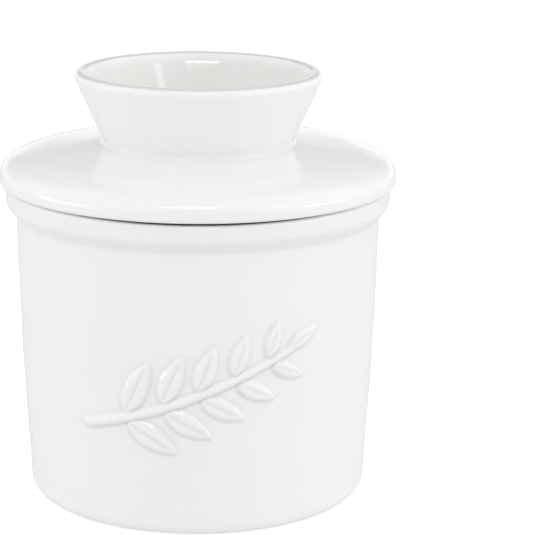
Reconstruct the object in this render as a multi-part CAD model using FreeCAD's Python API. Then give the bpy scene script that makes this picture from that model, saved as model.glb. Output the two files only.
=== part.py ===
"""Water-seal butter crock: a stoneware crock base, and a lid whose underside carries a butter bell.

Millimetres. +Z is up, the origin is the middle of the footprint on the table, and the relief faces -Y.
Each piece is one slip-cast, glazed shell of revolution, so each outline is a list of corners
(radius, height, corner rounding) that runs from the axis, round the section, and back to the axis.
"""

import FreeCAD, Part

import math
import os

# Crock base, outside
FOOT_INNER_R = 36.6  # unglazed foot ring, inner edge
FOOT_OUTER_R = 42.9  # where the wall's line meets the table
HEEL_ROUNDING = 3.2
FOOT_HEIGHT = 2.0  # recess under the floor
BELLY_R, BELLY_Z = 45.4, 46.0  # the wall eases from one taper to the other here
BELLY_ROUNDING = 1200.0
NECK_R, NECK_Z = 45.9, 71.6  # the wall meets the collar
NECK_ROUNDING = 1.6
COLLAR_R, COLLAR_Z = 48.3, 74.7  # the collar's lower bevel ends here
COLLAR_ROUNDING = 2.6
RIM_R, RIM_Z = 48.8, 78.95  # the collar's top
RIM_ROUNDING = 0.9

# Rebate in the rim, where the lid rests
REBATE_R = 46.9  # foot of the raised edge outside it
REBATE_SLOPE = 0.5
SEAT_Z = 78.0

# Crock base, inside
MOUTH_R = 41.2
WELL_R = 39.2  # the well's radius at its floor
FLOOR_Z = 6.0
FLOOR_ROUNDING = 8.0

# Lid disc
LID_R = 49.9
SHOULDER_Z = 84.6  # where the lid's side would meet the slope of the dome
SHOULDER_ROUNDING = 4.4
DOME_R, DOME_Z = 42.7, 87.3  # corner of the two tangents that the dome's arc eases
DOME_ROUNDING = 30.0
SPIGOT_R, SPIGOT_Z = 40.3, 76.0  # the step that centres the lid in the mouth
SEAT_R = 44.7  # outer edge of the unglazed seat ring
GROOVE_Z = 81.2  # top of the groove between the seat and the drip edge
DRIP_R = 47.2  # inner edge of the drip edge
DRIP_ROUNDING = 0.95
SEAM_GAP = 0.7  # open seam all round, under the drip edge

# Butter bell under the lid
BELL_ROOT_R = 35.6
BELL_MOUTH_R, BELL_MOUTH_Z = 33.4, 14.5
BELL_WALL = 4.0
BELL_CEILING_Z = 83.8

# Flared, hollow handle
HANDLE_FOOT_R, HANDLE_FOOT_Z = 24.0, 89.4  # where the dome meets the handle's short upright foot
FLARE_FOOT_R, FLARE_FOOT_Z = 24.2, 90.7  # where the foot turns out into the flare
LIP_R, LIP_Z = 31.7, 107.7
LIP_ROUNDING = 1.45
LIP_INNER_R = 28.2
THROAT_R, THROAT_Z = 27.1, 105.7  # below here the inside is steeper
HANDLE_WELL_R, HANDLE_FLOOR_Z = 20.4, 88.0

# Relief sprig on the front of the wall
RELIEF_HEIGHT = 1.1
RELIEF_LOW_Z, RELIEF_HIGH_Z = 14.0, 64.0  # heights between which the raised band is built
STEM_START = (-27.0, 27.5)  # (across the front, height)
STEM_MIDDLE = (0.0, 36.5)
STEM_END = (22.5, 47.0)
STEM_WIDTH = 1.9
LEAF_PAIRS = 5
FIRST_PAIR_AT, LAST_PAIR_AT = 0.17, 0.87  # shares of the stem's length
FIRST_LEAF, LAST_LEAF = 15.0, 10.0  # leaf lengths
LEAF_WIDTH_SHARE = 0.42
LEAF_ANGLE = 48.0  # degrees from the stem
LEAF_STALK = 1.3  # gap between the stem's middle and the leaf's heel


def vector(radius, z):
    return FreeCAD.Vector(radius, 0, z)


def rounded_outline(corners):
    """Edges along the corners, with each corner that has a rounding turned into a tangent arc."""
    edges = []
    last = vector(*corners[0][:2])
    for before, here, after in zip(corners, corners[1:], corners[2:]):
        corner, rounding = vector(*here[:2]), here[2]
        into = (corner - vector(*before[:2])).normalize()
        out = (vector(*after[:2]) - corner).normalize()
        turn = into.getAngle(out)
        reach = rounding * math.tan(turn / 2)
        start, end = corner - into * reach, corner + out * reach
        if last.distanceToPoint(start) > 1e-6:
            edges.append(Part.makeLine(last, start))
        if rounding:
            inward = (out - into).normalize()
            centre = corner + inward * (rounding / math.cos(turn / 2))
            middle = centre - inward * rounding
            edges.append(Part.Arc(start, middle, end).toShape())
        last = end
    edges.append(Part.makeLine(last, vector(*corners[-1][:2])))
    return edges


def revolve(corners):
    """A closed solid of revolution about Z from an outline that starts and ends at the same corner."""
    face = Part.Face(Part.Wire(rounded_outline(corners)))
    solid = face.revolve(FreeCAD.Vector(0, 0, 0), FreeCAD.Vector(0, 0, 1), 360)
    return Part.Solid(solid.Shells[0]) if solid.ShapeType != "Solid" else solid


def crock_shell():
    return revolve([
        (0, FOOT_HEIGHT, 0),
        (FOOT_INNER_R - 0.8, FOOT_HEIGHT, 1.0),
        (FOOT_INNER_R, 0, 0.6),
        (FOOT_OUTER_R, 0, HEEL_ROUNDING),
        (BELLY_R, BELLY_Z, BELLY_ROUNDING),
        (NECK_R, NECK_Z, NECK_ROUNDING),
        (COLLAR_R, COLLAR_Z, COLLAR_ROUNDING),
        (RIM_R, RIM_Z, RIM_ROUNDING),
        (REBATE_R + REBATE_SLOPE, RIM_Z, 0.4),
        (REBATE_R, SEAT_Z, 0.4),
        (MOUTH_R, SEAT_Z, 1.2),
        (WELL_R, FLOOR_Z, FLOOR_ROUNDING),
        (0, FLOOR_Z, 0),
        (0, FOOT_HEIGHT, 0),
    ])


def wall_radius(z):
    """The wall's outside radius on its two tangents, ahead of the easing between them."""
    if z < BELLY_Z:
        return FOOT_OUTER_R + (BELLY_R - FOOT_OUTER_R) * z / BELLY_Z
    return BELLY_R + (NECK_R - BELLY_R) * (z - BELLY_Z) / (NECK_Z - BELLY_Z)


def relief_band():
    """A thick ring whose outside is the wall's outside moved out by the relief's height."""
    core = WELL_R + 1.5
    return revolve([
        (core, RELIEF_LOW_Z, 0),
        (wall_radius(RELIEF_LOW_Z) + RELIEF_HEIGHT, RELIEF_LOW_Z, 0),
        (BELLY_R + RELIEF_HEIGHT, BELLY_Z, BELLY_ROUNDING),
        (wall_radius(RELIEF_HIGH_Z) + RELIEF_HEIGHT, RELIEF_HIGH_Z, 0),
        (core, RELIEF_HIGH_Z, 0),
        (core, RELIEF_LOW_Z, 0),
    ])


def stem_arc(sag=0.0):
    """The stem's line in the front plane, with its middle moved across the line by sag."""
    def at(point, dz=0.0):
        return FreeCAD.Vector(point[0], 0, point[1] + dz)
    return Part.Arc(at(STEM_START), at(STEM_MIDDLE, sag), at(STEM_END))


def stem_prism():
    """A stem that tapers to both ends, pushed through the front of the wall."""
    upper = stem_arc(STEM_WIDTH / 2).toShape()
    lower = stem_arc(-STEM_WIDTH / 2).toShape()
    face = Part.Face(Part.Wire(Part.__sortEdges__([upper, lower])))
    return face.extrude(FreeCAD.Vector(0, -2 * LID_R, 0))


def leaf_prism(heel_x, heel_z, angle, length):
    """A pointed oval leaf, drawn flat at its own place round the wall and pushed out along the radius."""
    half = length / 2
    side = length * LEAF_WIDTH_SHARE / 2
    heel, tip = FreeCAD.Vector(-half, 0, 0), FreeCAD.Vector(half, 0, 0)
    upper = Part.Arc(heel, FreeCAD.Vector(0, 0, side), tip).toShape()
    lower = Part.Arc(tip, FreeCAD.Vector(0, 0, -side), heel).toShape()
    prism = Part.Face(Part.Wire([upper, lower])).extrude(FreeCAD.Vector(0, -2 * LID_R, 0))
    prism.rotate(FreeCAD.Vector(0, 0, 0), FreeCAD.Vector(0, 1, 0), -math.degrees(angle))
    across = heel_x + half * math.cos(angle)
    up = heel_z + half * math.sin(angle)
    prism.translate(FreeCAD.Vector(0, 0, up))
    prism.rotate(FreeCAD.Vector(0, 0, 0), FreeCAD.Vector(0, 0, 1), math.degrees(across / BELLY_R))
    return prism


def leaf_prisms():
    """Pairs of leaves along the stem, shorter towards its end, and one leaf at the end."""
    stem = stem_arc()
    first, last = stem.FirstParameter, stem.LastParameter

    def on_stem(share):
        parameter = first + (last - first) * share
        point, tangent = stem.value(parameter), FreeCAD.Vector(*stem.tangent(parameter)[0])
        across = BELLY_R * math.asin(point.x / BELLY_R)
        return across, point.z, math.atan2(tangent.z, tangent.x)

    leaves = []
    for i in range(LEAF_PAIRS):
        progress = i / (LEAF_PAIRS - 1)
        share = FIRST_PAIR_AT + (LAST_PAIR_AT - FIRST_PAIR_AT) * progress
        length = FIRST_LEAF + (LAST_LEAF - FIRST_LEAF) * progress
        across, up, heading = on_stem(share)
        for turn in (math.radians(LEAF_ANGLE), -math.radians(LEAF_ANGLE)):
            angle = heading + turn
            heel_x = across + LEAF_STALK * math.cos(angle)
            heel_z = up + LEAF_STALK * math.sin(angle)
            leaves.append(leaf_prism(heel_x, heel_z, angle, length))
    across, up, heading = on_stem(1.0)
    leaves.append(leaf_prism(across - LEAF_STALK, up, heading, LAST_LEAF))
    return leaves


def crock_base():
    band = relief_band()
    raised = [prism.common(band) for prism in [stem_prism(), *leaf_prisms()]]
    return crock_shell().fuse(raised).removeSplitter()


def bell_lid():
    bell_inner_r = BELL_MOUTH_R - BELL_WALL
    bell_top_inner_r = BELL_ROOT_R - BELL_WALL
    seam_z = RIM_Z + SEAM_GAP
    return revolve([
        (0, BELL_CEILING_Z, 0),
        (bell_top_inner_r, BELL_CEILING_Z, 5.0),
        (bell_inner_r, BELL_MOUTH_Z, 1.4),
        (BELL_MOUTH_R, BELL_MOUTH_Z, 1.8),
        (BELL_ROOT_R, SPIGOT_Z - 0.2, 2.2),
        (SPIGOT_R - 0.2, SPIGOT_Z, 0.8),
        (SPIGOT_R, SEAT_Z, 0.4),
        (SEAT_R, SEAT_Z, 0.15),
        (SEAT_R + 0.2, GROOVE_Z, 0.5),
        (DRIP_R - 0.2, GROOVE_Z, 0.5),
        (DRIP_R, seam_z, 0.3),
        (LID_R, seam_z, DRIP_ROUNDING),
        (LID_R, SHOULDER_Z, SHOULDER_ROUNDING),
        (DOME_R, DOME_Z, DOME_ROUNDING),
        (HANDLE_FOOT_R, HANDLE_FOOT_Z, 0.9),
        (FLARE_FOOT_R, FLARE_FOOT_Z, 1.5),
        (LIP_R, LIP_Z, LIP_ROUNDING),
        (LIP_INNER_R, LIP_Z, 1.2),
        (THROAT_R, THROAT_Z, 12.0),
        (HANDLE_WELL_R, HANDLE_FLOOR_Z, 5.0),
        (0, HANDLE_FLOOR_Z, 0),
        (0, BELL_CEILING_Z, 0),
    ])


def main():
    os.makedirs("parts", exist_ok=True)
    for name, shape in (("crock_base", crock_base()), ("bell_lid", bell_lid())):
        solids = shape.Solids
        box = shape.optimalBoundingBox(False)
        print(
            f"{name}: {len(solids)} solid, valid {shape.isValid()}, {shape.Volume / 1000:.1f} ml of clay,"
            f" {box.XLength:.1f} x {box.YLength:.1f} x {box.ZLength:.1f} mm"
        )
        shape.exportStep(f"parts/{name}.step")


main()
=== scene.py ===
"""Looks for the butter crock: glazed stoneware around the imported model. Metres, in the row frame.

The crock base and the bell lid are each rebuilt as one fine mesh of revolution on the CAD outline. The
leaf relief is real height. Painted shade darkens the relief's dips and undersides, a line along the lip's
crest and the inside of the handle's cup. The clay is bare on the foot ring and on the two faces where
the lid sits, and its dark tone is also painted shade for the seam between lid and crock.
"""

import math

import bpy
import numpy as np
from mathutils import Matrix, Vector


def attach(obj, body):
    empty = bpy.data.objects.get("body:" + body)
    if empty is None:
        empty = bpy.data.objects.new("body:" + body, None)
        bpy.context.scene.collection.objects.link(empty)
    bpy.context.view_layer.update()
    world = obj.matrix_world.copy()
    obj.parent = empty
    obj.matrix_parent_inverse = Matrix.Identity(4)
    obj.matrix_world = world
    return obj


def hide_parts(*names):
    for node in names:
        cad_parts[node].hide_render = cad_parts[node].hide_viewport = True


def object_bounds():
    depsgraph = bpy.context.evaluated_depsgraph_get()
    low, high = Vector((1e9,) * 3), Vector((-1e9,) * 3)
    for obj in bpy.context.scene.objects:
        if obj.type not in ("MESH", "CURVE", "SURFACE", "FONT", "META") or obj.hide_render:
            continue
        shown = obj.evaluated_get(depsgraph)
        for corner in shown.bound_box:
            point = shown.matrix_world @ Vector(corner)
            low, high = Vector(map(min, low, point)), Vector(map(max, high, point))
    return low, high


MM = 0.001
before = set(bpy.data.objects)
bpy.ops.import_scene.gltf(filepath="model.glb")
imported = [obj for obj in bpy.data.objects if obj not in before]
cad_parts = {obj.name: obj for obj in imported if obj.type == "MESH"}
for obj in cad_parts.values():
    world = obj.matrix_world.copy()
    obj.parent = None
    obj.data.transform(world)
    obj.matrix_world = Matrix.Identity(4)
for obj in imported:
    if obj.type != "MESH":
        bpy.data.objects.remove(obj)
cad_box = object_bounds()

# ---- the CAD outlines, in millimetres: (radius, height, corner rounding) from the axis round to the axis

BASE_OUTLINE = [
    (0, 2.0, 0),
    (35.8, 2.0, 1.0),
    (36.6, 0, 0.6),
    (42.9, 0, 3.2),
    (45.4, 46.0, 1200.0),
    (45.9, 71.6, 1.6),
    (48.3, 74.7, 2.6),
    (48.8, 78.95, 0.9),
    (47.4, 78.95, 0.4),
    (46.9, 78.0, 0.4),
    (41.2, 78.0, 1.2),
    (39.2, 6.0, 8.0),
    (0, 6.0, 0),
]
LID_OUTLINE = [
    (0, 83.8, 0),
    (31.6, 83.8, 5.0),
    (29.4, 14.5, 1.4),
    (33.4, 14.5, 1.8),
    (35.6, 75.8, 2.2),
    (40.1, 76.0, 0.8),
    (40.3, 78.0, 0.4),
    (44.7, 78.0, 0.15),
    (44.9, 81.2, 0.5),
    (47.0, 81.2, 0.5),
    (47.2, 79.65, 0.3),
    (49.9, 79.65, 0.95),
    (49.9, 84.6, 4.4),
    (42.7, 87.3, 30.0),
    (24.0, 89.4, 0.9),
    (24.2, 90.7, 1.5),
    (31.7, 107.7, 1.45),
    (28.2, 107.7, 1.2),
    (27.1, 105.7, 12.0),
    (20.4, 88.0, 5.0),
    (0, 88.0, 0),
]
RELIEF_ROWS = (14.0, 64.0)  # heights that get fine rows, on the outside of the wall
RELIEF_HALF_TURN = 48.0  # degrees each side of the front that get fine columns
SEAM_RISE = 0.58  # mm by which the collar's top has warped up at the sides, where the seam nearly shuts
SEAM_SPREAD = 46.0  # degrees from the front and from the back over which it does

# mesh density: gaps in millimetres, turns in degrees
ROW_GAP, ARC_ROW_GAP, RELIEF_ROW_GAP = 2.4, 2.0, 0.42
ARC_ROW_TURN = 9.0
COLUMN_TURN, RELIEF_COLUMN_TURN = 1.25, 0.5
COLUMNS_BEHIND_RELIEF = 132


def spread(length, fine):
    """Distances along a straight run: close together by its ends, and never further apart than fine."""
    steps = [0.0]
    gap = min(0.25, length / 3)
    while steps[-1] + gap < length / 2:
        steps.append(steps[-1] + gap)
        gap = min(gap * 1.8, fine)
    return steps[1:] + [length - s for s in reversed(steps[1:])]


def sample_outline(corners, fine_rows=None):
    """Points down the outline and the signed curvature (1/mm, + convex) at each of them."""
    points, bends = [np.array(corners[0][:2], float)], [0.0]
    last = points[0]

    def run_to(target):
        nonlocal last
        way = target - last
        length = float(np.hypot(*way))
        if length < 1e-6:
            return
        fine = ROW_GAP
        if fine_rows and last[0] > 42 and target[0] > 42:
            if last[1] < fine_rows[1] and target[1] > fine_rows[0]:
                fine = RELIEF_ROW_GAP
        for s in spread(length, fine):
            points.append(last + way * (s / length))
            bends.append(0.0)
        last = target

    for before, here, after in zip(corners, corners[1:], corners[2:]):
        corner, rounding = np.array(here[:2], float), here[2]
        into = corner - before[:2]
        out = np.array(after[:2]) - corner
        into, out = into / np.hypot(*into), out / np.hypot(*out)
        cross = into[0] * out[1] - into[1] * out[0]
        turn = math.atan2(abs(cross), float(into @ out))
        reach = rounding * math.tan(turn / 2)
        start = corner - into * reach
        run_to(start)
        inward = np.array([-into[1], into[0]]) * math.copysign(1, cross)
        centre = start + inward * rounding
        arc = rounding * turn
        limit = RELIEF_ROW_GAP if fine_rows and rounding > 1000 else ARC_ROW_GAP
        count = max(math.ceil(turn / math.radians(ARC_ROW_TURN)), math.ceil(arc / limit), 3)
        for k in range(count + 1):
            a = turn * k / count
            spoke = -inward * math.cos(a) + into * math.sin(a)
            points.append(centre + spoke * rounding)
            bends.append(math.copysign(1 / rounding, cross))
        last = points[-1]
    run_to(np.array(corners[-1][:2], float))
    points.append(np.array(corners[-1][:2], float))
    bends.append(0.0)
    return np.array(points), np.array(bends)


# ---- the leaf relief, laid out as in the CAD: (across the wall, height) in millimetres

WALL_R = 45.4
STEM_START, STEM_MIDDLE, STEM_END = (-27.0, 27.5), (0.0, 36.5), (22.5, 47.0)
LEAF_PAIRS = 5
FIRST_PAIR_AT, LAST_PAIR_AT = 0.17, 0.87
FIRST_LEAF, LAST_LEAF = 15.0, 10.0
LEAF_WIDTH_SHARE = 0.42
LEAF_ANGLE = math.radians(48.0)
LEAF_STALK = 1.3
RELIEF_HEIGHT = 1.1
RELIEF_SHADE_STRENGTH = 0.65  # how strongly a bend of the relief is painted darker, as painted shade
BEND_STEP = 0.8  # mm between the points that the relief's bend is taken from
SHADE_ON_UPPER_SIDES = 0.45  # share of the relief's painted shade that stays on its upper sides; the rest goes on its undersides


def circle_through(a, b, c):
    """Centre and radius of the circle through three points."""
    (ax, ay), (bx, by), (cx, cy) = a, b, c
    d = 2 * (ax * (by - cy) + bx * (cy - ay) + cx * (ay - by))
    a2, b2, c2 = ax * ax + ay * ay, bx * bx + by * by, cx * cx + cy * cy
    ux = (a2 * (by - cy) + b2 * (cy - ay) + c2 * (ay - by)) / d
    uy = (a2 * (cx - bx) + b2 * (ax - cx) + c2 * (bx - ax)) / d
    return (ux, uy), math.hypot(ax - ux, ay - uy)


STEM_CENTRE, STEM_RADIUS = circle_through(STEM_START, STEM_MIDDLE, STEM_END)


def on_stem(share):
    """A point of the stem on the unrolled wall, and the stem's heading there."""
    begin = math.atan2(STEM_START[1] - STEM_CENTRE[1], STEM_START[0] - STEM_CENTRE[0])
    end = math.atan2(STEM_END[1] - STEM_CENTRE[1], STEM_END[0] - STEM_CENTRE[0])
    a = begin + (end - begin) * share
    x = STEM_CENTRE[0] + STEM_RADIUS * math.cos(a)
    z = STEM_CENTRE[1] + STEM_RADIUS * math.sin(a)
    heading = a + math.copysign(math.pi / 2, end - begin)
    return WALL_R * math.asin(x / WALL_R), z, heading


def soft(t):
    t = np.clip(t, 0, 1)
    return t * t * (3 - 2 * t)


def leaf_height(across, up, heel, angle, length):
    """A crowned leaf with a sunk midrib and side veins."""
    dx, dz = across - heel[0], up - heel[1]
    s = (dx * math.cos(angle) + dz * math.sin(angle)) / length
    t = (-dx * math.sin(angle) + dz * math.cos(angle)) / length
    inside = np.clip(s, 0, 1)
    half = LEAF_WIDTH_SHARE / 2 * (np.sin(math.pi * inside ** 0.82) ** 0.8)
    edge = (half - np.abs(t)) * length
    shape = soft(edge / 1.4 + 0.25) * soft((s * length) / 1.0) * soft((1 - s) * length / 1.0)
    crown = 0.74 + 0.26 * np.clip(edge / (half.max() * length), 0, 1)
    midrib = 1 - 0.42 * np.exp(-((t * length / 0.5) ** 2)) * soft((0.93 - s) / 0.1)
    veins = 0.5 + 0.5 * np.cos((s - np.abs(t) * 0.9) * length * 2 * math.pi / 2.9)
    ribs = 1 - 0.09 * veins * soft(np.abs(t) * length / 0.8)
    return shape * crown * midrib * ribs


def relief(across, up):
    """Height of the relief over the wall, 0 to 1."""
    height = np.zeros_like(across)
    near = np.full_like(across, 1e9)
    width = np.zeros_like(across)
    for i in range(161):
        share = i / 160
        a, z, _ = on_stem(share)
        d = np.hypot(across - a, up - z)
        closer = d < near
        near = np.where(closer, d, near)
        width = np.where(closer, 1.2 - 0.5 * share, width)
    height = np.maximum(height, 0.95 * soft((width - near) / 1.5 + 0.45))
    for i in range(LEAF_PAIRS):
        progress = i / (LEAF_PAIRS - 1)
        share = FIRST_PAIR_AT + (LAST_PAIR_AT - FIRST_PAIR_AT) * progress
        length = FIRST_LEAF + (LAST_LEAF - FIRST_LEAF) * progress
        a, z, heading = on_stem(share)
        for turn in (LEAF_ANGLE, -LEAF_ANGLE):
            angle = heading + turn
            heel = (a + LEAF_STALK * math.cos(angle), z + LEAF_STALK * math.sin(angle))
            height = np.maximum(height, leaf_height(across, up, heel, angle, length))
    a, z, heading = on_stem(1.0)
    heel = (a - LEAF_STALK, z)
    return np.maximum(height, leaf_height(across, up, heel, heading, LAST_LEAF))


# ---- meshes


def columns(fine_half_turn=0.0):
    """Turns round the axis, in radians, 0 at the front (-Y): close together over the relief."""
    if not fine_half_turn:
        return np.radians(np.arange(0, 360, COLUMN_TURN))
    front = np.arange(-fine_half_turn, fine_half_turn, RELIEF_COLUMN_TURN)
    back = np.linspace(fine_half_turn, 360 - fine_half_turn, COLUMNS_BEHIND_RELIEF, endpoint=False)
    return np.radians(np.concatenate([front, back]))


def wobble(turn, z, seed):
    """A hand-finished casting's slow unevenness, in millimetres."""
    total = np.zeros(np.broadcast(turn, z).shape)
    for k, (waves, rise, size) in enumerate(((2, 0.021, 0.05), (3, 0.047, 0.035), (5, 0.083, 0.02))):
        total += size * np.sin(waves * turn + rise * z * 2 * math.pi + seed * (k + 1.7))
    return total


def revolve(name, outline, bends, turns, swell):
    """A closed mesh of revolution. At each point swell gives the shift outward and upward, in mm, and the
    relief's painted shade: negative where its dips and undersides are painted darker, and positive on its
    crests, which stay unpainted."""
    rows = len(outline)
    r, z = outline[1:-1, 0][:, None], outline[1:-1, 1][:, None]
    t = turns[None, :]
    tangent = np.gradient(outline, axis=0)[1:-1]
    tangent /= np.hypot(tangent[:, 0], tangent[:, 1])[:, None]
    normal_r, normal_z = tangent[:, 1][:, None], -tangent[:, 0][:, None]
    shift, rise, relief_shading = swell(t, r, z, normal_r, normal_z)
    rr, zz = r + shift * normal_r, z + shift * normal_z + rise
    grid = np.stack([rr * np.sin(t), -rr * np.cos(t), zz + 0 * t], axis=-1)
    verts = np.concatenate([[[0, 0, outline[0, 1]]], grid.reshape(-1, 3), [[0, 0, outline[-1, 1]]]])
    n = len(turns)
    index = 1 + np.arange((rows - 2) * n).reshape(rows - 2, n)
    right = np.roll(index, -1, axis=1)
    quads = np.stack([index[:-1], right[:-1], right[1:], index[1:]], axis=-1).reshape(-1, 4)
    last = len(verts) - 1
    fan = [(0, int(b), int(a)) for a, b in zip(index[0], right[0])]
    cap = [(last, int(a), int(b)) for a, b in zip(index[-1], right[-1])]
    mesh = bpy.data.meshes.new(name)
    mesh.from_pydata((verts * MM).tolist(), [], fan + quads.tolist() + cap)
    mesh.validate()
    mesh.polygons.foreach_set("use_smooth", [True] * len(mesh.polygons))
    # painted shade: a darker line along the lip's upturned crest, stronger than the glaze's own breaking
    # over the edge would give
    lip = np.clip(bends[1:-1][:, None], 0, 1) * soft((normal_z - 0.5) / 0.4) * (z > LIP_FROM)
    for label, value in (("lip_shade", lip), ("relief_shade", np.clip(-relief_shading, 0, 1)), ("hollow_shade", hollow_shade(r, z))):
        value = np.concatenate([[0], np.broadcast_to(value, rr.shape).reshape(-1), [0]])
        attribute = mesh.attributes.new(label, "FLOAT", "POINT")
        attribute.data.foreach_set("value", value.astype(np.float32))
    obj = bpy.data.objects.new(name, mesh)
    bpy.context.scene.collection.objects.link(obj)
    return obj


HOLLOW_FLOOR_R, HOLLOW_FLOOR_Z = 20.4, 88.0
HOLLOW_FLARE = 0.3785  # how fast the hollow widens upward
LIP_FROM = 104.0


def base_swell(t, r, z, normal_r, normal_z):
    turn = (t + math.pi) % (2 * math.pi) - math.pi
    outside = soft((normal_r - 0.5) / 0.3) * soft((r - 42) / 1.0) * soft((77 - z) / 3) * soft((z - 3) / 4)
    shift = outside * wobble(turn, z, 0.4)
    across, up = WALL_R * turn + 0 * z, z + 0 * turn
    wall = (z > RELIEF_ROWS[0]) & (z < RELIEF_ROWS[1]) & (r > 43)
    height = np.where(wall, relief(across, up), 0.0)
    above, below = relief(across, up + BEND_STEP), relief(across, up - BEND_STEP)
    beside = relief(across + BEND_STEP, up) + relief(across - BEND_STEP, up)
    curve = (4 * height - above - below - beside) * RELIEF_HEIGHT / (BEND_STEP * BEND_STEP)
    # painted shade: the relief's dips, and still more its undersides, are painted darker where light from
    # above falls less
    underside = soft((above - below) * RELIEF_HEIGHT / BEND_STEP)
    relief_shading = np.where(wall, curve * RELIEF_SHADE_STRENGTH * (SHADE_ON_UPPER_SIDES + (1 - SHADE_ON_UPPER_SIDES) * underside), 0.0)
    from_front = np.abs(np.degrees(turn))
    from_seam = np.minimum(from_front, 180 - from_front)
    warp = SEAM_RISE * (1 - np.exp(-((from_seam / SEAM_SPREAD) ** 2)))
    rise = warp * soft((r - 46.4) / 0.8) * soft((z - 75.5) / 3.2)
    return shift + height * RELIEF_HEIGHT, rise, relief_shading


def lid_swell(t, r, z, normal_r, normal_z):
    turn = (t + math.pi) % (2 * math.pi) - math.pi
    top = soft((normal_z - 0.1) / 0.3) * soft((z - 84) / 2) * soft((106 - z) / 2)
    handle = soft((normal_r - 0.4) / 0.3) * soft((z - 92) / 2) * soft((106 - z) / 2)
    return np.maximum(top, handle) * wobble(turn, z, 2.1), 0.0, 0.0


def hollow_shade(r, z):
    """1 inside the handle's cup, where the glaze is painted darker as shade, and 0 elsewhere."""
    inside = soft((HOLLOW_FLOOR_R + (z - HOLLOW_FLOOR_Z) * HOLLOW_FLARE + 1.0 - r) / 0.8)
    return inside * soft((z - HOLLOW_FLOOR_Z + 1.5) / 1.0) * soft((107.2 - z) / 2.0)


def outward(obj):
    """Turns every face to look out of the solid."""
    mesh = obj.data
    normals = np.empty(len(mesh.polygons) * 3)
    centres = np.empty_like(normals)
    areas = np.empty(len(mesh.polygons))
    mesh.polygons.foreach_get("normal", normals)
    mesh.polygons.foreach_get("center", centres)
    mesh.polygons.foreach_get("area", areas)
    volume = ((normals * centres).reshape(-1, 3).sum(1) * areas).sum() / 3
    if volume < 0:
        mesh.flip_normals()


# ---- materials


def glaze_material():
    material = bpy.data.materials.new("white_glaze")
    material.use_nodes = True
    nodes, links = material.node_tree.nodes, material.node_tree.links
    shader = nodes["Principled BSDF"]
    where = nodes.new("ShaderNodeTexCoord").outputs["Object"]

    def noise(scale, detail, rough=0.5):
        node = nodes.new("ShaderNodeTexNoise")
        node.inputs["Scale"].default_value = scale
        node.inputs["Detail"].default_value = detail
        node.inputs["Roughness"].default_value = rough
        links.new(where, node.inputs["Vector"])
        return node.outputs["Fac"]

    def spread_to(value, low, high, a, b):
        node = nodes.new("ShaderNodeMapRange")
        for socket, number in zip(("From Min", "From Max", "To Min", "To Max"), (low, high, a, b)):
            node.inputs[socket].default_value = number
        links.new(value, node.inputs["Value"])
        return node.outputs["Result"]

    def mix(factor, first, second):
        node = nodes.new("ShaderNodeMix")
        node.data_type = "RGBA"
        for socket, value in ((node.inputs[0], factor), (node.inputs[6], first), (node.inputs[7], second)):
            if isinstance(value, tuple):
                socket.default_value = (*value, 1)
            else:
                links.new(value, socket)
        return node.outputs[2]

    def attribute(name):
        node = nodes.new("ShaderNodeAttribute")
        node.attribute_name = name
        return node.outputs["Fac"]

    clouds = spread_to(noise(22, 3), 0.35, 0.65, 0, 1)
    colour = mix(clouds, (0.91, 0.914, 0.914), (0.925, 0.923, 0.92))
    # painted shade in the relief's dips and on its undersides
    colour = mix(spread_to(attribute("relief_shade"), 0, 1, 0, 0.8), colour, (0.64, 0.67, 0.66))
    # painted shade: a darker line along the lip's crest
    colour = mix(spread_to(attribute("lip_shade"), 0.15, 0.7, 0, 0.8), colour, (0.65, 0.645, 0.63))
    # painted shade inside the handle's cup
    colour = mix(spread_to(attribute("hollow_shade"), 0, 1, 0, 0.5), colour, (0.80, 0.795, 0.77))
    links.new(colour, shader.inputs["Base Color"])
    links.new(spread_to(noise(160, 2), 0.3, 0.7, 0.06, 0.10), shader.inputs["Roughness"])
    shader.inputs["IOR"].default_value = 1.5
    shader.inputs["Subsurface Weight"].default_value = 0.12
    shader.inputs["Subsurface Radius"].default_value = (0.0022, 0.0020, 0.0017)
    shader.inputs["Subsurface Scale"].default_value = 1.0
    slow = nodes.new("ShaderNodeBump")
    slow.inputs["Distance"].default_value = 0.0006
    slow.inputs["Strength"].default_value = 0.35
    links.new(noise(70, 1), slow.inputs["Height"])
    peel = nodes.new("ShaderNodeBump")
    peel.inputs["Distance"].default_value = 0.00003
    peel.inputs["Strength"].default_value = 0.5
    links.new(noise(700, 2), peel.inputs["Height"])
    links.new(slow.outputs["Normal"], peel.inputs["Normal"])
    links.new(peel.outputs["Normal"], shader.inputs["Normal"])
    return material


def clay_and_seam_shade_material():
    material = bpy.data.materials.new("bare_clay_seam_shade")
    material.use_nodes = True
    nodes, links = material.node_tree.nodes, material.node_tree.links
    shader = nodes["Principled BSDF"]
    where = nodes.new("ShaderNodeTexCoord").outputs["Object"]
    grain = nodes.new("ShaderNodeTexNoise")
    grain.inputs["Scale"].default_value = 1400
    grain.inputs["Detail"].default_value = 4
    links.new(where, grain.inputs["Vector"])
    # the clay's tone is set darker than the body alone: painted shade, so the seam where lid meets crock
    # reads dark
    ramp = nodes.new("ShaderNodeValToRGB")
    ramp.color_ramp.elements[0].position = 0.3
    ramp.color_ramp.elements[0].color = (0.33, 0.285, 0.23, 1)
    ramp.color_ramp.elements[1].position = 0.55
    ramp.color_ramp.elements[1].color = (0.45, 0.40, 0.335, 1)
    links.new(grain.outputs["Fac"], ramp.inputs["Fac"])
    links.new(ramp.outputs["Color"], shader.inputs["Base Color"])
    shader.inputs["Roughness"].default_value = 0.88
    bump = nodes.new("ShaderNodeBump")
    bump.inputs["Distance"].default_value = 0.00008
    bump.inputs["Strength"].default_value = 0.6
    links.new(grain.outputs["Fac"], bump.inputs["Height"])
    links.new(bump.outputs["Normal"], shader.inputs["Normal"])
    return material


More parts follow.
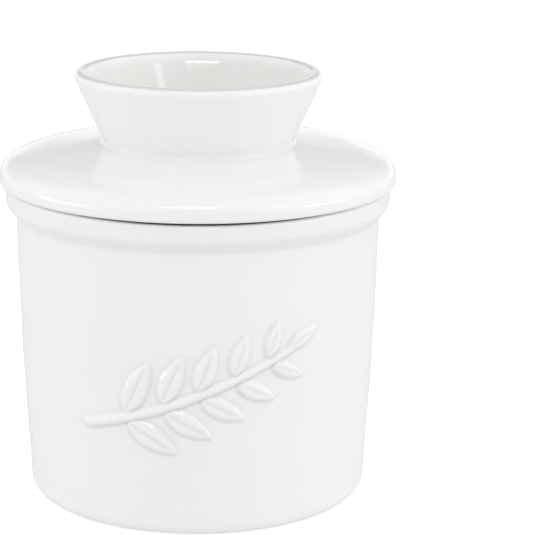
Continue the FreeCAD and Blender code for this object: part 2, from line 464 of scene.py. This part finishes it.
def paint(obj, is_bare, materials):
    """Glaze everywhere but where is_bare(radius, height) holds, which is bare clay."""
    for material in materials:
        obj.data.materials.append(material)
    polygons = obj.data.polygons
    centres = np.empty(len(polygons) * 3)
    polygons.foreach_get("center", centres)
    x, y, z = centres.reshape(-1, 3).T / MM
    polygons.foreach_set("material_index", is_bare(np.hypot(x, y), z).astype(np.int32))


glaze, clay = glaze_material(), clay_and_seam_shade_material()

outline, bends = sample_outline(BASE_OUTLINE, RELIEF_ROWS)
crock = revolve("crock_body", outline, bends, columns(RELIEF_HALF_TURN), base_swell)
outward(crock)
# bare clay on the foot ring and seat faces; its dark tone is partly painted shade for the seam
paint(crock, lambda r, z: ((z < 0.3) & (r > 36)) | ((z > 77.9) & (r > 41.9) & (r < 47.25)), (glaze, clay))
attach(crock, "crock")
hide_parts("crock_base")

outline, bends = sample_outline(LID_OUTLINE)
lid = revolve("bell_lid_body", outline, bends, columns(), lid_swell)
outward(lid)
# bare clay on the lid's seat faces; its dark tone is partly painted shade for the seam
paint(lid, lambda r, z: (z > 77.4) & (z < 81.5) & (r > 39.9) & (r < 48.0), (glaze, clay))
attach(lid, "lid")
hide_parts("bell_lid")

# ---- floor, light and camera


def emitter(name, colour, strength, diffuse):
    material = bpy.data.materials.new(name)
    material.use_nodes = True
    shader = material.node_tree.nodes["Principled BSDF"]
    shader.inputs["Base Color"].default_value = (*diffuse, 1)
    shader.inputs["Roughness"].default_value = 0.9
    shader.inputs["Emission Color"].default_value = (*colour, 1)
    shader.inputs["Emission Strength"].default_value = strength
    return material


def plane(name, height, material):
    """A stage plane, 8 m across."""
    side = 4.0
    mesh = bpy.data.meshes.new(name)
    corners = [(-side, -side, height), (side, -side, height), (side, side, height), (-side, side, height)]
    mesh.from_pydata(corners, [], [(0, 1, 2, 3)])
    obj = bpy.data.objects.new(name, mesh)
    bpy.context.scene.collection.objects.link(obj)
    obj.data.materials.append(material)
    return obj


# the white sweep that the camera sees, and the one just under it that lights and mirrors in the glaze
FLOOR_GLOW, BOUNCE_GLOW = 0.70, 0.56
BOUNCE_DROP = 0.0002  # metres under the floor that is seen
floor = plane("floor", 0.0, emitter("white_sweep", (1, 1, 1), FLOOR_GLOW, (0.5, 0.5, 0.5)))
floor.visible_diffuse = floor.visible_glossy = floor.visible_transmission = floor.visible_shadow = False
bounce_glow = emitter("white_bounce", (1, 1, 1), BOUNCE_GLOW, (0.25, 0.25, 0.25))
bounce = plane("floor_bounce", -BOUNCE_DROP, bounce_glow)
bounce.visible_camera = False


def softbox(name, place, aim, width, height, radiance, colour=(1, 1, 1)):
    light = bpy.data.lights.new(name, "AREA")
    light.shape = "RECTANGLE"
    light.size, light.size_y = width, height
    light.energy = radiance * math.pi * width * height
    light.color = colour
    obj = bpy.data.objects.new(name, light)
    bpy.context.scene.collection.objects.link(obj)
    obj.location = place
    obj.rotation_euler = (Vector(aim) - Vector(place)).to_track_quat("-Z", "Y").to_euler()
    obj.visible_camera = False
    return obj


low, high = cad_box
middle = Vector((0, 0, 0.5 * (low[2] + high[2])))


def around(azimuth, elevation, distance):
    """A place round the object. Azimuth 0 is in front of it and 90 to its right, in degrees."""
    a, e = math.radians(azimuth), math.radians(elevation)
    way = Vector((math.sin(a) * math.cos(e), -math.cos(a) * math.cos(e), math.sin(e)))
    return middle + way * distance


softbox("front_strip", around(-5, 40, 1.0), middle, 0.56, 0.06, 8.5)
softbox("right_strip", around(75, 8, 1.1), middle, 0.66, 0.13, 3.2)
softbox("left_strip", around(-80, 3, 1.1), middle, 0.72, 0.16, 2.9, (0.93, 1.0, 0.98))
softbox("right_window", around(48, 30, 1.1), middle, 0.13, 0.19, 2.8)

# how brightly each part of the studio glows, as (upward part of the direction, glow), in front and behind
FRONT_SKY = ((0.0, 1.00), (0.25, 1.04), (0.5, 1.06), (0.7, 0.96), (0.85, 0.79), (1.0, 0.73))
BACK_SKY = ((0.0, 1.10), (0.09, 1.04), (0.22, 0.54), (0.6, 0.48), (0.85, 0.63), (1.0, 0.73))
RIGHT_GAIN = 0.06
world = bpy.data.worlds.new("studio")
world.use_nodes = True
nodes, links = world.node_tree.nodes, world.node_tree.links
way = nodes.new("ShaderNodeTexCoord")
parts = nodes.new("ShaderNodeSeparateXYZ")
links.new(way.outputs["Generated"], parts.inputs["Vector"])


def sky(stops):
    ramp = nodes.new("ShaderNodeValToRGB")
    while len(ramp.color_ramp.elements) < len(stops):
        ramp.color_ramp.elements.new(0.5)
    for element, (place, level) in zip(ramp.color_ramp.elements, stops):
        element.position = place
        element.color = (level, level, level, 1)
    links.new(parts.outputs["Z"], ramp.inputs["Fac"])
    return ramp.outputs["Color"]


def math_node(operation, *values):
    node = nodes.new("ShaderNodeMath")
    node.operation = operation
    for socket, value in zip(node.inputs, values):
        if isinstance(value, float):
            socket.default_value = value
        else:
            links.new(value, socket)
    return node.outputs[0]


backward = nodes.new("ShaderNodeMapRange")
backward.inputs["From Min"].default_value = 0.3
backward.inputs["From Max"].default_value = 0.7
links.new(parts.outputs["Y"], backward.inputs["Value"])
joined = nodes.new("ShaderNodeMix")
joined.data_type = "RGBA"
links.new(backward.outputs["Result"], joined.inputs[0])
links.new(sky(FRONT_SKY), joined.inputs[6])
links.new(sky(BACK_SKY), joined.inputs[7])
links.new(joined.outputs[2], nodes["Background"].inputs["Color"])

# darker straight in front, where the camera stands in an unlit part of the room, and lighter to the right
dark_front = nodes.new("ShaderNodeMapRange")
dark_front.interpolation_type = "SMOOTHSTEP"
for socket, number in (("From Min", -0.97), ("From Max", -0.60), ("To Min", 0.48), ("To Max", 1.055)):
    dark_front.inputs[socket].default_value = number
links.new(parts.outputs["Y"], dark_front.inputs["Value"])
to_right = math_node("MULTIPLY_ADD", parts.outputs["X"], RIGHT_GAIN, 1.0)
strength = math_node("MULTIPLY", dark_front.outputs["Result"], to_right)
links.new(strength, nodes["Background"].inputs["Strength"])
bpy.context.scene.world = world
bpy.context.scene.view_settings.view_transform = "Standard"

CAMERA_PLACE = (-0.0003, -0.53863, 0.19582)
LENS, SENSOR = 146.5, 36
PITCH, YAW, ROLL = math.radians(14.4815), math.radians(1.8866), math.radians(0.5783)
ahead = Vector((math.sin(YAW) * math.cos(PITCH), math.cos(YAW) * math.cos(PITCH), -math.sin(PITCH)))
level = Vector((math.cos(YAW), -math.sin(YAW), 0))
above = level.cross(ahead)
right = level * math.cos(ROLL) + above * math.sin(ROLL)
up = above * math.cos(ROLL) - level * math.sin(ROLL)
camera = bpy.data.objects.new("camera", bpy.data.cameras.new("camera"))
camera.data.sensor_width = SENSOR
camera.data.lens = LENS
camera.data.clip_start = 0.01
camera.data.clip_end = 20
bpy.context.scene.collection.objects.link(camera)
turned = Matrix((right, up, -ahead)).transposed().to_4x4()
camera.matrix_world = Matrix.Translation(CAMERA_PLACE) @ turned
bpy.context.scene.camera = camera
